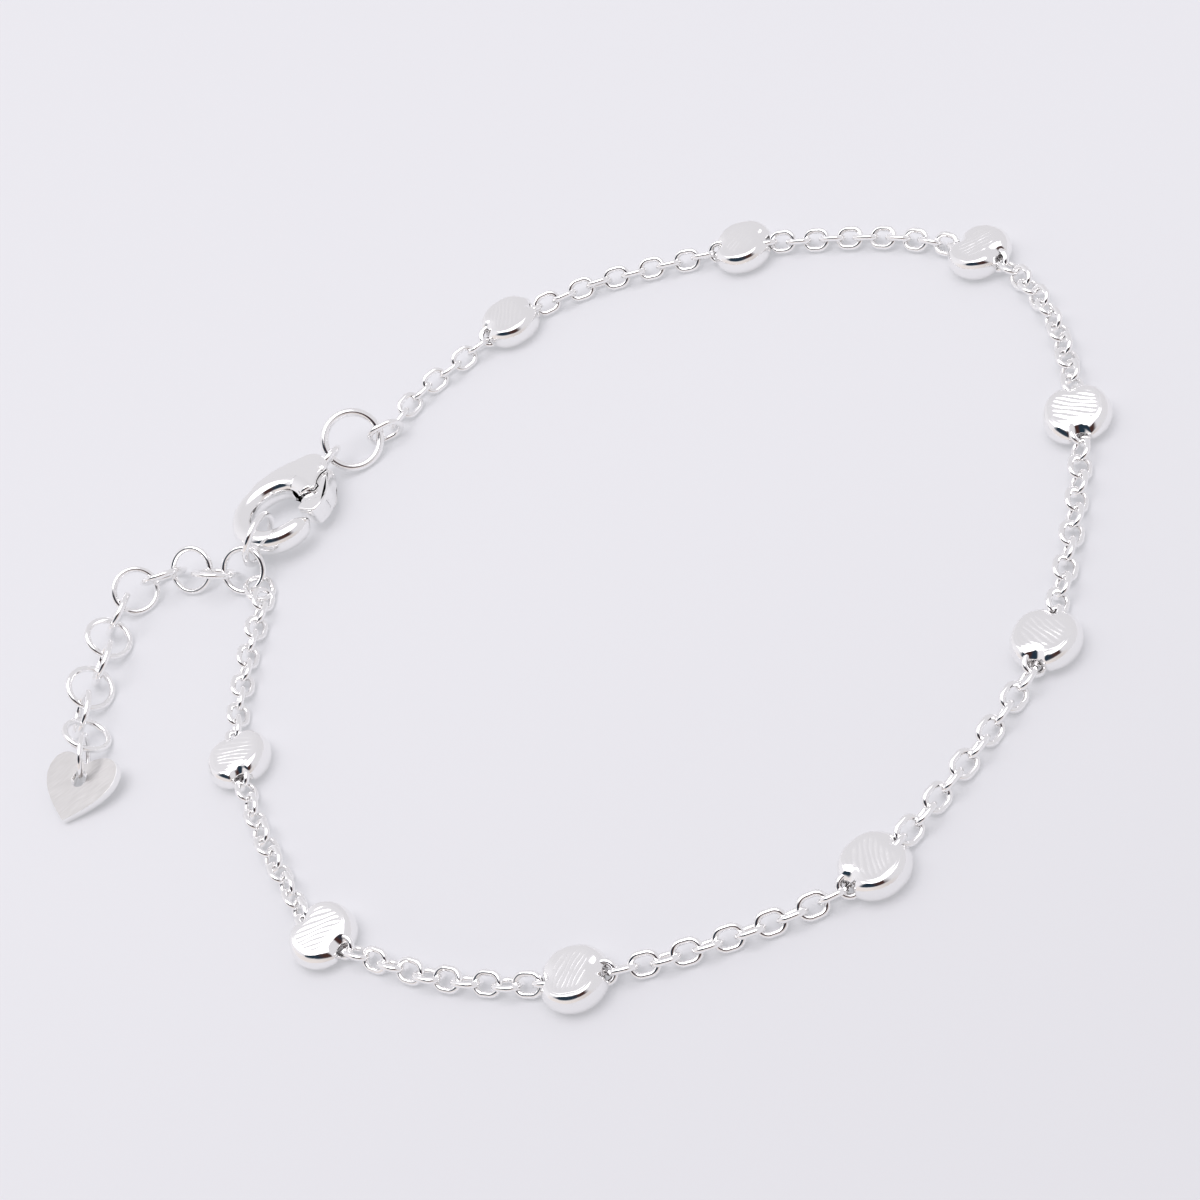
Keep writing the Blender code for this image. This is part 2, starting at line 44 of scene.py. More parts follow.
CHAIN_ROUTE = [
    (-4.37, 25.10, 0), (-2.62, 26.20, 0), (-0.42, 26.80, 0), (2.58, 27.55, 0),
    (4.85, 27.96, 1), (9.53, 27.70, 0), (14.58, 25.90, 0),
    (20.41, 22.86, 2), (23.73, 20.75, 0), (28.88, 16.15, 0),
    (32.20, 10.98, 3), (33.23, 6.70, 0), (32.78, 1.20, 0),
    (30.41, -5.91, 4), (28.48, -9.80, 0), (25.18, -14.80, 0),
    (21.19, -19.95, 5), (17.78, -22.40, 0), (13.38, -24.90, 0),
    (6.90, -27.95, 6), (2.78, -28.10, 0), (-3.82, -26.75, 0),
    (-9.81, -24.76, 7), (-13.22, -22.70, 0), (-17.32, -19.00, 0),
    (-21.60, -13.10, 8), (-22.47, -8.90, 0), (-22.92, -2.00, 0),
    (-22.54, 3.17, 9), (-21.82, 6.50, 0), (-19.92, 11.00, 0), (-18.62, 13.40, 0),
    (-17.72, 15.10, 0),
]
LINK_LENGTH = 1.92
LINK_WIDTH = 1.56
LINK_WIRE = 0.37
LINK_PITCH = 1.16
LINK_LEAN = 43.0
CHAIN_HEIGHT = 0.66
MOUTH_HEIGHT = 0.82
FIRST_LINK = 1.50
END_REACH = 0.35
ROUTE_STEPS = 14
LINK_STEPS = 32
WIRE_SIDES = 14
UNEVEN_LEAN = 9.0
CHAIN_SEED = 11
FULL_SILVER = (0.95, 0.945, 0.94)
LARGE_FACE = 9


def smooth_route(points, steps):
    """Points of a smooth curve through the given ones."""
    points = [Vector(point) for point in points]
    padded = [2 * points[0] - points[1]] + points + [2 * points[-1] - points[-2]]
    curve = []
    for index in range(1, len(padded) - 2):
        before, start, end, after = padded[index - 1:index + 3]
        for step in range(steps):
            t = step / steps
            curve.append(0.5 * (2 * start + (end - before) * t
                                + (2 * before - 5 * start + 4 * end - after) * t ** 2
                                + (3 * start - before - 3 * end + after) * t ** 3))
    curve.append(points[-1].copy())
    return curve


class Path:
    """A smooth curve that can be read at any length along it."""

    def __init__(self, points, steps=ROUTE_STEPS):
        self.points = smooth_route(points, steps)
        self.steps = steps
        self.lengths = [0.0]
        for start, end in zip(self.points, self.points[1:]):
            self.lengths.append(self.lengths[-1] + (end - start).length)

    def at(self, length):
        if length <= 0.0:
            start, end = self.points[0], self.points[1]
            return start + (end - start).normalized() * length
        if length >= self.lengths[-1]:
            start, end = self.points[-2], self.points[-1]
            return end + (end - start).normalized() * (length - self.lengths[-1])
        index = int(np.searchsorted(self.lengths, length))
        start, end = self.lengths[index - 1], self.lengths[index]
        share = (length - start) / (end - start)
        return self.points[index - 1].lerp(self.points[index], share)

    def heading(self, length, reach=0.4):
        away = self.at(length + reach) - self.at(length - reach)
        return atan2(away.y, away.x)


def polished_silver(name, colour, roughness, wear, grain):
    """Bright silver: mirror polish with faint hairlines and slightly uneven gloss."""
    material = bpy.data.materials.new(name)
    material.use_nodes = True
    nodes = material.node_tree.nodes
    links = material.node_tree.links
    shader = nodes["Principled BSDF"]
    shader.inputs["Base Color"].default_value = (*colour, 1.0)
    shader.inputs["Metallic"].default_value = 1.0
    place = nodes.new("ShaderNodeTexCoord")
    cloud = nodes.new("ShaderNodeTexNoise")
    cloud.inputs["Scale"].default_value = 900.0
    cloud.inputs["Detail"].default_value = 3.0
    gloss = nodes.new("ShaderNodeMapRange")
    gloss.inputs["From Min"].default_value = 0.35
    gloss.inputs["From Max"].default_value = 0.65
    gloss.inputs["To Min"].default_value = roughness * (1.0 - wear)
    gloss.inputs["To Max"].default_value = roughness * (1.0 + wear)
    links.new(place.outputs["Object"], cloud.inputs["Vector"])
    links.new(cloud.outputs["Fac"], gloss.inputs["Value"])
    links.new(gloss.outputs["Result"], shader.inputs["Roughness"])
    stretch = nodes.new("ShaderNodeMapping")
    stretch.inputs["Scale"].default_value = (9000.0, 1400.0, 3000.0)
    stretch.inputs["Rotation"].default_value = (0.2, 0.1, 0.6)
    hair = nodes.new("ShaderNodeTexNoise")
    hair.inputs["Scale"].default_value = 1.0
    hair.inputs["Detail"].default_value = 2.0
    bump = nodes.new("ShaderNodeBump")
    bump.inputs["Strength"].default_value = grain
    bump.inputs["Distance"].default_value = 0.00001
    links.new(place.outputs["Object"], stretch.inputs["Vector"])
    links.new(stretch.outputs["Vector"], hair.inputs["Vector"])
    links.new(hair.outputs["Fac"], bump.inputs["Height"])
    links.new(bump.outputs["Normal"], shader.inputs["Normal"])
    return material


silver = polished_silver("polished_silver", FULL_SILVER, roughness=0.10, wear=0.35, grain=0.10)


def shade_rounds(mesh):
    """Smooth shading on the rounded faces, flat shading on the large flat ones."""
    for face in mesh.polygons:
        face.use_smooth = len(face.vertices) < LARGE_FACE


def add_piece(name, mesh, material):
    """Link one finished mesh as a piece with its own finish."""
    piece = bpy.data.objects.new(name, mesh)
    bpy.context.scene.collection.objects.link(piece)
    if not mesh.materials:
        mesh.materials.append(material)
    return piece


def new_tree(name, sizes, material_name):
    """An empty geometry tree with one named input for each size and one for the finish."""
    tree = bpy.data.node_groups.new(name, "GeometryNodeTree")
    tree.interface.new_socket("Geometry", in_out="INPUT", socket_type="NodeSocketGeometry")
    for label in sizes:
        kind = "NodeSocketInt" if label == "Seed" else "NodeSocketFloat"
        tree.interface.new_socket(label, in_out="INPUT", socket_type=kind)
    tree.interface.new_socket(material_name, in_out="INPUT", socket_type="NodeSocketMaterial")
    tree.interface.new_socket("Geometry", in_out="OUTPUT", socket_type="NodeSocketGeometry")
    return tree


def math_node(tree, operation, first, second=None):
    """A math node fed by numbers or sockets, as its output socket."""
    node = tree.nodes.new("ShaderNodeMath")
    node.operation = operation
    for socket, value in zip(node.inputs, (first, second)):
        if isinstance(value, (int, float)):
            socket.default_value = value
        elif value is not None:
            tree.links.new(value, socket)
    return node.outputs[0]


def link_loop(tree, entry):
    """Nodes that make one oval link of round wire, its long side along X."""
    across = math_node(tree, "SUBTRACT", entry["Width"], entry["Wire"])
    radius = math_node(tree, "MULTIPLY", across, 0.5)
    longer = math_node(tree, "SUBTRACT", entry["Length"], entry["Width"])
    reach = math_node(tree, "MULTIPLY", longer, 0.5)
    circle = tree.nodes.new("GeometryNodeCurvePrimitiveCircle")
    circle.inputs["Resolution"].default_value = LINK_STEPS
    tree.links.new(radius, circle.inputs["Radius"])
    spot = tree.nodes.new("GeometryNodeInputPosition")
    parts = tree.nodes.new("ShaderNodeSeparateXYZ")
    tree.links.new(spot.outputs[0], parts.inputs[0])
    side = math_node(tree, "SIGN", parts.outputs[0])
    offset = tree.nodes.new("ShaderNodeCombineXYZ")
    tree.links.new(math_node(tree, "MULTIPLY", side, reach), offset.inputs[0])
    oval = tree.nodes.new("GeometryNodeSetPosition")
    tree.links.new(circle.outputs["Curve"], oval.inputs["Geometry"])
    tree.links.new(offset.outputs[0], oval.inputs["Offset"])
    section = tree.nodes.new("GeometryNodeCurvePrimitiveCircle")
    section.inputs["Resolution"].default_value = WIRE_SIDES
    tree.links.new(math_node(tree, "MULTIPLY", entry["Wire"], 0.5), section.inputs["Radius"])
    wire = tree.nodes.new("GeometryNodeCurveToMesh")
    tree.links.new(oval.outputs["Geometry"], wire.inputs["Curve"])
    tree.links.new(section.outputs["Curve"], wire.inputs["Profile Curve"])
    return wire.outputs["Mesh"]


def close_tree(tree, geometry, material):
    """Realize, shade smooth and set the finish, as the last nodes of a tree."""
    real = tree.nodes.new("GeometryNodeRealizeInstances")
    tree.links.new(geometry, real.inputs["Geometry"])
    smooth = tree.nodes.new("GeometryNodeSetShadeSmooth")
    tree.links.new(real.outputs["Geometry"], smooth.inputs["Geometry"])
    finish = tree.nodes.new("GeometryNodeSetMaterial")
    tree.links.new(smooth.outputs["Geometry"], finish.inputs["Geometry"])
    tree.links.new(material, finish.inputs["Material"])
    out = tree.nodes.new("NodeGroupOutput")
    tree.links.new(finish.outputs["Geometry"], out.inputs["Geometry"])


def cable_tree():
    """Links set along each run of the route, leaning left and right in turn."""
    sizes = ("Pitch", "Length", "Width", "Wire", "Lean", "Unevenness", "Seed")
    tree = new_tree("cable_links", sizes, "Silver")
    entry = tree.nodes.new("NodeGroupInput").outputs
    spread = tree.nodes.new("GeometryNodeResampleCurve")
    spread.mode = "LENGTH"
    tree.links.new(entry["Geometry"], spread.inputs["Curve"])
    tree.links.new(entry["Pitch"], spread.inputs["Length"])
    tangent = tree.nodes.new("GeometryNodeInputTangent")
    aim = tree.nodes.new("FunctionNodeAlignRotationToVector")
    aim.axis = "X"
    aim.pivot_axis = "Z"
    tree.links.new(tangent.outputs[0], aim.inputs["Vector"])
    number = tree.nodes.new("GeometryNodeInputIndex")
    turn = math_node(tree, "SUBTRACT", math_node(tree, "MULTIPLY", math_node(
        tree, "MODULO", number.outputs[0], 2.0), 2.0), 1.0)
    chance = tree.nodes.new("FunctionNodeRandomValue")
    chance.data_type = "FLOAT"
    low, high = [socket for socket in chance.inputs
                 if socket.name in ("Min", "Max") and socket.type == "VALUE"]
    low.default_value = -1.0
    high.default_value = 1.0
    tree.links.new(entry["Seed"], chance.inputs["Seed"])
    drawn = [socket for socket in chance.outputs if socket.type == "VALUE"][0]
    lean = math_node(tree, "ADD", math_node(tree, "MULTIPLY", turn, entry["Lean"]),
                     math_node(tree, "MULTIPLY", drawn, entry["Unevenness"]))
    roll = tree.nodes.new("FunctionNodeAxisAngleToRotation")
    roll.inputs["Axis"].default_value = (1.0, 0.0, 0.0)
    tree.links.new(lean, roll.inputs["Angle"])
    both = tree.nodes.new("FunctionNodeRotateRotation")
    both.rotation_space = "LOCAL"
    tree.links.new(aim.outputs["Rotation"], both.inputs["Rotation"])
    tree.links.new(roll.outputs["Rotation"], both.inputs["Rotate By"])
    lay = tree.nodes.new("GeometryNodeInstanceOnPoints")
    tree.links.new(spread.outputs["Curve"], lay.inputs["Points"])
    tree.links.new(link_loop(tree, entry), lay.inputs["Instance"])
    tree.links.new(both.outputs["Rotation"], lay.inputs["Rotation"])
    close_tree(tree, lay.outputs["Instances"], entry["Silver"])
    return tree


def run_tree(name, data, tree, values):
    """Feed a base shape and the named sizes to a tree, and keep the result as a plain mesh."""
    base = bpy.data.objects.new(name, data)
    bpy.context.scene.collection.objects.link(base)
    modifier = base.modifiers.new(tree.name, "NODES")
    modifier.node_group = tree
    for item in tree.interface.items_tree:
        if item.item_type == "SOCKET" and item.in_out == "INPUT" and item.name in values:
            modifier[item.identifier] = values[item.name]
    bpy.context.view_layer.update()
    graph = bpy.context.evaluated_depsgraph_get()
    mesh = bpy.data.meshes.new_from_object(base.evaluated_get(graph))
    mesh.name = name
    base.modifiers.remove(modifier)
    bpy.data.objects.remove(base, do_unlink=True)
    return mesh


def route_curve(name, runs):
    """One curve with a straight-sided spline for each run of points, in metres."""
    curve = bpy.data.curves.new(name, "CURVE")
    curve.dimensions = "3D"
    for run in runs:
        spline = curve.splines.new("POLY")
        spline.points.add(len(run) - 1)
        for target, point in zip(spline.points, run):
            target.co = (*(point * MM), 1.0)
    return curve


chain_path = Path([(x, y, 0.0) for x, y, _ in CHAIN_ROUTE])
bead_places = [chain_path.lengths[number * chain_path.steps]
               for number, (_, _, bead) in enumerate(CHAIN_ROUTE) if bead]
stops = [-END_REACH - FIRST_LINK] + bead_places + [chain_path.lengths[-1] + END_REACH + FIRST_LINK]
chain_runs = []
for number, (start, end) in enumerate(zip(stops, stops[1:])):
    low_end, high_end = start + FIRST_LINK, end - FIRST_LINK
    count = max(1, round((high_end - low_end) / LINK_PITCH)) * 6
    run = []
    for step in range(count + 1):
        length = low_end + (high_end - low_end) * step / count
        point = chain_path.at(length)
        near = min([abs(length - place) for place in bead_places])
        lift = max(0.0, 1.0 - (near - FIRST_LINK) / 2.4)
        point.z = CHAIN_HEIGHT + (MOUTH_HEIGHT - CHAIN_HEIGHT) * lift * lift * (3 - 2 * lift)
        run.append(point)
    chain_runs.append(run)

chain_mesh = run_tree("cable_chain", route_curve("chain_runs", chain_runs), cable_tree(), {
    "Pitch": LINK_PITCH * MM, "Length": LINK_LENGTH * MM, "Width": LINK_WIDTH * MM,
    "Wire": LINK_WIRE * MM, "Lean": radians(LINK_LEAN), "Unevenness": radians(UNEVEN_LEAN),
    "Seed": CHAIN_SEED, "Silver": silver})
chain = add_piece("cable_chain", chain_mesh, silver)
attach(chain, "bracelet")
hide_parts(*["chain_run_" + str(number) for number in range(10)])


# The nine beads. Each is pressed from sheet silver into a hollow pillow: two flat faces with
# a row of engraved grooves, a full polished rim, and at each chain end a bite with a mouth
# that the end link comes out of, its inside darkened with painted shade.
BEAD_RADIUS = 2.03
BEAD_HALF = 0.83
FACE_RADIUS = 1.45
FACE_TO_RIM = 0.56
FACE_TO_BITE = 0.78
FACE_SIDE = 1.38
BITE_DEPTH = 0.26
BITE_RADIUS = 1.25
FLUTE_DEPTH = 0.32
FLUTE_SIDE = 0.56
MOUTH_SIDE = 0.40
MOUTH_TALL = 0.28
MOUTH_DEEP = 0.70
GROOVE_PITCH = 0.30
GROOVE_DEPTH = 0.019
GROOVE_DULLNESS = 0.13
GROOVE_WANDER = 0.05
GROOVE_WAVER = 0.03
FACE_SAG = 0.025
BEAD_TURNS = 240
FACE_RINGS = 54
RIM_RINGS = 33
BACK_RINGS = 9
# Colour of the painted shade inside the beads' mouths, where the hollow bead lies in shadow.
MOUTH_PAINTED_SHADE = (0.42, 0.40, 0.40, 1.0)
# Columns: groove direction from the chain's own, curve of the grooves, and how far the cut face
# is tipped to the front and to the left, in degrees.
BEAD_LOOKS = {
    1: (61, 0.02, 0.8, 0.0), 2: (61, 0.02, 0.4, 1.0), 3: (61, 0.03, -2.0, 0.0),
    4: (67, 0.04, 7.6, 1.0), 5: (59, 0.05, 0.8, 0.5), 6: (58, 0.08, 0.0, 0.0),
    7: (67, 0.05, -2.2, 0.0), 8: (53, 0.03, 5.7, 3.0), 9: (68, 0.03, -2.5, 1.5),
}


def step_between(low, high, value):
    """A smooth step from 0 to 1 between two values."""
    share = np.clip((value - low) / (high - low), 0.0, 1.0)
    return share * share * (3.0 - 2.0 * share)


def bead_outline(turns):
    """Outer radius at each angle: a round disc with a rounded bite at each chain end."""
    off_axis = np.abs((turns + pi / 2) % pi - pi / 2)
    centre = BEAD_RADIUS - BITE_DEPTH + BITE_RADIUS
    inside = np.maximum(BITE_RADIUS ** 2 - (centre * np.sin(off_axis)) ** 2, 0.0)
    bite = centre * np.cos(off_axis) - np.sqrt(inside)
    bite = np.where(inside > 0.0, bite, BEAD_RADIUS + 1.0)
    blend = 0.16
    mix = np.clip(0.5 + 0.5 * (bite - BEAD_RADIUS) / blend, 0.0, 1.0)
    return bite * (1.0 - mix) + BEAD_RADIUS * mix - blend * mix * (1.0 - mix)


def face_edge(turns):
    """Radius of the flat face at each angle: straighter along the sides, shorter at the bites."""
    off_axis = np.abs((turns + pi / 2) % pi - pi / 2)
    from_rim = FACE_TO_BITE - (FACE_TO_BITE - FACE_TO_RIM) * step_between(0.35, 1.0, off_axis)
    side = FACE_SIDE / np.maximum(np.abs(np.sin(turns)), 0.3)
    return np.minimum(np.minimum(FACE_RADIUS, side), bead_outline(turns) - from_rim)


def bead_shape(groove_turn, groove_curve, slope_along, slope_across):
    """Points and faces of one bead about its middle, its chain axis along X."""
    turns = np.arange(BEAD_TURNS) * 2 * pi / BEAD_TURNS
    rim = bead_outline(turns)
    face = face_edge(turns)
    rings = []
    for share in np.sin(np.linspace(0.0, pi / 2, FACE_RINGS)[1:]) ** 0.9:
        rings.append((face * share, BEAD_HALF))
    for angle in np.linspace(pi / 2, -pi / 2, RIM_RINGS)[1:]:
        rings.append((face + (rim - face) * cos(angle), BEAD_HALF * sin(angle)))
    for share in np.linspace(1.0, 0.0, BACK_RINGS)[1:-1]:
        rings.append((face * share, -BEAD_HALF))
    points = [np.array([[0.0, 0.0, BEAD_HALF]])]
    for radius, height in rings:
        level = np.full(BEAD_TURNS, height)
        points.append(np.stack([radius * np.cos(turns), radius * np.sin(turns), level], 1))
    points.append(np.array([[0.0, 0.0, -BEAD_HALF]]))
    x, y, z = np.concatenate(points).T
    height = z / BEAD_HALF
    reach = np.hypot(x, y)
    angles = np.arctan2(y, x)
    edge = face_edge(angles)
    on_face = height > 0.98
    z = z - FACE_SAG * (reach / FACE_RADIUS) ** 2 * np.sign(z) * (np.abs(height) > 0.98)
    across = x * sin(groove_turn) - y * cos(groove_turn)
    along = x * cos(groove_turn) + y * sin(groove_turn)
    wander = GROOVE_WANDER * np.sin(2.3 * across + 1.1 * groove_turn)
    wander = wander + GROOVE_WAVER * np.sin(3.1 * along + 5.0 * across)
    phase = (across + groove_curve * along ** 2 + wander) / GROOVE_PITCH
    ripple = 0.5 + 0.5 * np.cos(2 * pi * phase)
    fade = (1.0 - step_between(0.74, 0.98, reach / edge)) * on_face
    z = z - GROOVE_DEPTH * ripple ** 1.5 * fade
    flute = np.exp(-(y / FLUTE_SIDE) ** 2) * step_between(0.75, 1.85, np.abs(x))
    z = z - FLUTE_DEPTH * flute * height
    # The mouth mask pulls the mouth into the bead and also carries the painted shade inside it.
    mouth = 1.0 - step_between(0.8 * MOUTH_SIDE, MOUTH_SIDE, np.abs(y))
    mouth = mouth * (1.0 - step_between(0.7 * MOUTH_TALL, MOUTH_TALL, np.abs(z)))
    mouth = mouth * (np.abs(x) > 1.3)
    x = x - np.sign(x) * MOUTH_DEEP * mouth
    z = z + step_between(-0.6, 0.9, height) * (x * slope_along + y * slope_across)
    points = np.stack([x, y, z], 1)
    faces = []
    for index in range(BEAD_TURNS):
        following = (index + 1) % BEAD_TURNS
        faces.append((0, 1 + index, 1 + following))
        last = 1 + (len(rings) - 1) * BEAD_TURNS
        faces.append((len(points) - 1, last + following, last + index))
    for ring in range(len(rings) - 1):
        upper_row = 1 + ring * BEAD_TURNS
        lower_row = upper_row + BEAD_TURNS
        for index in range(BEAD_TURNS):
            following = (index + 1) % BEAD_TURNS
            faces.append((upper_row + index, lower_row + index, lower_row + following,
                          upper_row + following))
    return points, faces, mouth, ripple ** 1.5 * fade


def silver_with_painted_mouth_shade(base):
    """The beads' finish: polished silver with painted shade darkening the mouths, and duller in the
    grooves.
    """
    material = base.copy()
    material.name = "bead_silver"
    nodes = material.node_tree.nodes
    links = material.node_tree.links
    shader = nodes["Principled BSDF"]
    # Painted shade: the mouth mask mixes the silver toward a dark colour inside the mouths.
    depth = nodes.new("ShaderNodeAttribute")
    depth.attribute_name = "mouth_painted_shade"
    shade_mix = nodes.new("ShaderNodeMix")
    shade_mix.data_type = "RGBA"
    shade_mix.inputs[6].default_value = shader.inputs["Base Color"].default_value
    shade_mix.inputs[7].default_value = MOUTH_PAINTED_SHADE
    links.new(depth.outputs["Fac"], shade_mix.inputs[0])
    links.new(shade_mix.outputs[2], shader.inputs["Base Color"])
    engraving = nodes.new("ShaderNodeAttribute")
    engraving.attribute_name = "engraving"
    duller = nodes.new("ShaderNodeMath")
    duller.operation = "MULTIPLY_ADD"
    duller.inputs[1].default_value = GROOVE_DULLNESS
    links.new(engraving.outputs["Fac"], duller.inputs[0])
    links.new(shader.inputs["Roughness"].links[0].from_socket, duller.inputs[2])
    links.new(duller.outputs[0], shader.inputs["Roughness"])
    return material


bead_silver = silver_with_painted_mouth_shade(silver)
for number, place in enumerate(bead_places, 1):
    turn, curve, to_front, to_left = BEAD_LOOKS[number]
    centre = chain_path.at(place)
    heading = chain_path.heading(place, BEAD_RADIUS - BITE_DEPTH + 0.3)
    front, left = np.tan(radians(to_front)), np.tan(radians(to_left))
    slope_along = front * sin(heading) + left * cos(heading)
    slope_across = front * cos(heading) - left * sin(heading)
    points, faces, mouth_shade_mask, grooves = bead_shape(radians(turn), curve, slope_along, slope_across)
    turned = np.array(Matrix.Rotation(heading, 3, "Z")) @ points.T
    points = turned.T + np.array([centre.x, centre.y, BEAD_HALF])
    mesh = bpy.data.meshes.new("bead_" + str(number) + "_pressed")
    mesh.from_pydata([tuple(point) for point in points * MM], [], faces)
    # The mouth mask is stored for the painted shade inside the mouths; the groove mask dulls the
    # gloss.
    for label, values in (("mouth_painted_shade", mouth_shade_mask), ("engraving", grooves)):
        shade = mesh.attributes.new(label, "FLOAT", "POINT")
        shade.data.foreach_set("value", values.astype(np.float32))
    mesh.shade_smooth()
    bead = add_piece("bead_" + str(number) + "_pressed", mesh, bead_silver)
    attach(bead, "bracelet")
    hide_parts("bead_" + str(number))


# The wire rings: the jump ring at the clasp's neck, the oval link at each end of the chain,
# the connecting ring in the clasp, the extender's eleven rings, and the heart's ring. Each is
# one turn of drawn silver wire, closed with a small bead of solder.
CLASP_CENTRE = (-14.42, 21.25)
CLASP_HEADING = 30.0
EXTENDER_ROUTE = [
    (-17.92, 18.28), (-19.52, 19.20), (-20.92, 20.80), (-23.22, 21.80), (-25.52, 21.60),
    (-27.22, 19.60), (-28.72, 16.70), (-29.82, 15.30), (-30.82, 13.50), (-30.92, 11.40),
]
EXTENDER_PITCH = 2.06
RING_LEAN = 45.0
FLOOR_GAP = 0.02
NECK_LOOP_AT = 5.15
# Columns: length, width and wire
JUMP_RING = (4.2, 4.2, 0.55)
END_LINK = (2.6, 2.0, 0.40)
CONNECTING_RING = (3.8, 3.8, 0.45)
EXTENDER_RING = (3.2, 3.2, 0.40)
HEART_RING = (3.12, 3.12, 0.36)
RING_STEPS = 72
RING_SIDES = 18
SOLDER_SWELL = 0.07
SOLDER_SEAM = 0.05
SOLDER_TURN = 67.0


def clasp_spot(along, across, height=0.0):
    """Place on the clasp from distances along and across it, and above its mid height."""
    turn = radians(CLASP_HEADING)
    return Vector((CLASP_CENTRE[0] + along * cos(turn) - across * sin(turn),
                   CLASP_CENTRE[1] + along * sin(turn) + across * cos(turn), 1.44 + height))


def leaning(place, heading, lean):
    """Matrix with X along a heading and Y leaned up by an angle, in degrees."""
    along = Vector((cos(radians(heading)), sin(radians(heading)), 0.0))
    side = Vector((-along.y, along.x, 0.0))
    rise = side * cos(radians(lean)) + Vector((0.0, 0.0, sin(radians(lean))))
    turn = Matrix((along, rise, along.cross(rise))).transposed().to_4x4()
    return Matrix.Translation(place) @ turn


def ring_mesh(name, length, width, wire, place, heading, lean, solder_at=200.0):
    """One closed loop of round wire with a slight swelling where it is soldered."""
    radius = (width - wire) / 2
    straight = (length - width) / 2
    rows, sides = RING_STEPS, RING_SIDES
    turns = np.arange(rows) * 2 * pi / rows
    hoop = np.stack([radius * np.cos(turns) + np.sign(np.cos(turns)) * straight,
                     radius * np.sin(turns), np.zeros(rows)], 1)
    apart = np.abs((np.degrees(turns) - solder_at + 180.0) % 360.0 - 180.0)
    swell = SOLDER_SWELL * np.exp(-(apart / 6.0) ** 2)
    seam = SOLDER_SEAM * np.exp(-(apart / 2.0) ** 2)
    thick = wire / 2 * (1.0 + swell - seam)
    centre_z = (width - wire) / 2 * sin(abs(radians(lean))) + wire / 2 + FLOOR_GAP
    world = leaning(Vector((place[0], place[1], centre_z)), heading, lean)
    points = []
    for index in range(rows):
        outward = Vector((cos(turns[index]), sin(turns[index]), 0.0))
        for side in range(sides):
            angle = 2 * pi * side / sides
            point = Vector(hoop[index]) + outward * (thick[index] * cos(angle))
            point.z = thick[index] * sin(angle)
            points.append(world @ point * MM)
    faces = []
    for index in range(rows):
        following = (index + 1) % rows
        for side in range(sides):
            above = (side + 1) % sides
            faces.append((index * sides + side, following * sides + side,
                          following * sides + above, index * sides + above))
    mesh = bpy.data.meshes.new(name)
    mesh.from_pydata(points, [], faces)
    mesh.shade_smooth()
    return mesh


def add_ring(node, *sizes, **more):
    """One wire ring in the place of its solid."""
    ring = add_piece(node + "_wire", ring_mesh(node + "_wire", *sizes, **more), silver)
    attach(ring, "bracelet")
    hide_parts(node)


def polar(start, bearing, distance):
    """The place at a bearing and distance from another."""
    return (start[0] + distance * cos(radians(bearing)), start[1] + distance * sin(radians(bearing)))


jump_middle = polar(clasp_spot(NECK_LOOP_AT, 0.0), CLASP_HEADING - 20.0, 2.0)
add_ring("jump_ring", *JUMP_RING, jump_middle, CLASP_HEADING - 20.0, RING_LEAN, solder_at=60.0)
add_ring("end_link_1", *END_LINK, polar(jump_middle, -5.2, 2.11), -3.1, -72.9)
add_ring("end_link_2", *END_LINK, polar(EXTENDER_ROUTE[0], 284.2, 1.63), 87.3, 21.9)
add_ring("connecting_ring", *CONNECTING_RING, polar(clasp_spot(0.0, 0.0), 223.5, 2.45), 223.5, 68.6)
extender_path = Path([(x, y, 0.0) for x, y in EXTENDER_ROUTE])
for number in range(11):
    length = number * EXTENDER_PITCH
    place = extender_path.at(length)
    away = extender_path.at(length + 0.4) - extender_path.at(max(0.0, length - 0.4))
    heading = atan2(away.y, away.x) * 180.0 / pi
    lean = -RING_LEAN if number % 2 == 0 else RING_LEAN
    add_ring("extender_ring_" + str(number + 1), *EXTENDER_RING, place, heading, lean,
             solder_at=90.0 + SOLDER_TURN * number)
add_ring("heart_ring", *HEART_RING, (-31.44, 9.49), 249.0, 70.0)


# The lobster clasp's body. It is one silver casting: a round hook, a flat shoulder that tapers
# to the neck with a slot in its near side for the lever, and the neck loop that the jump ring
# goes through. A rivet through the shoulder holds the lever.
HOOK_RADIUS = 3.2
HOLE_RADIUS = 1.7
CLASP_THICK = 1.7
HOOK_FROM = -31.0
SLOT_TO = 6.0
HOOK_TO = 281.0
SHOULDER_THICK = 1.56
SLOT_TALL = 1.00
HOOK_SIDES = 40
HOOK_FULLNESS = 2.1
NARROW_FROM = 246.0
NARROW_BY = 0.20
CHEEK_EDGE = 0.10
WEB_EDGE = 0.02
WEB_OVERLAP = 0.10
NECK_LOOP = (2.3, 2.3, 0.45)
RIVET_AT = (4.03, -0.80)
RIVET_RADIUS = 0.24
RIVET_RISE = 0.08
# Outline of the shoulder, along and across from the hook's middle
SHOULDER = [
    (0.20, 2.50), (0.90, 2.86), (1.75, 2.66), (2.55, 2.34), (3.30, 1.90), (3.90, 1.42),
    (4.42, 1.06), (4.74, 0.60), (4.82, 0.10), (4.72, -0.42), (4.48, -0.90), (4.06, -1.12),
    (3.60, -1.02), (3.05, -1.18), (2.72, -1.46), (2.45, -1.62), (2.22, -1.42), (2.32, -0.60),
    (2.45, 0.40), (2.10, 1.30), (1.20, 2.10),
]
# Outline of the web between the cheeks, which leaves room for the lever's root
WEB = [
    (0.20, 2.50), (0.90, 2.80), (1.75, 2.60), (2.55, 2.28), (3.30, 1.84), (3.90, 1.36),
    (4.36, 1.00), (4.66, 0.56), (4.72, 0.10), (4.58, -0.16), (4.10, -0.12), (3.60, -0.10),
    (3.05, -0.16), (2.55, -0.30), (2.38, 0.10), (2.40, 0.60), (2.10, 1.30), (1.20, 2.10),
]


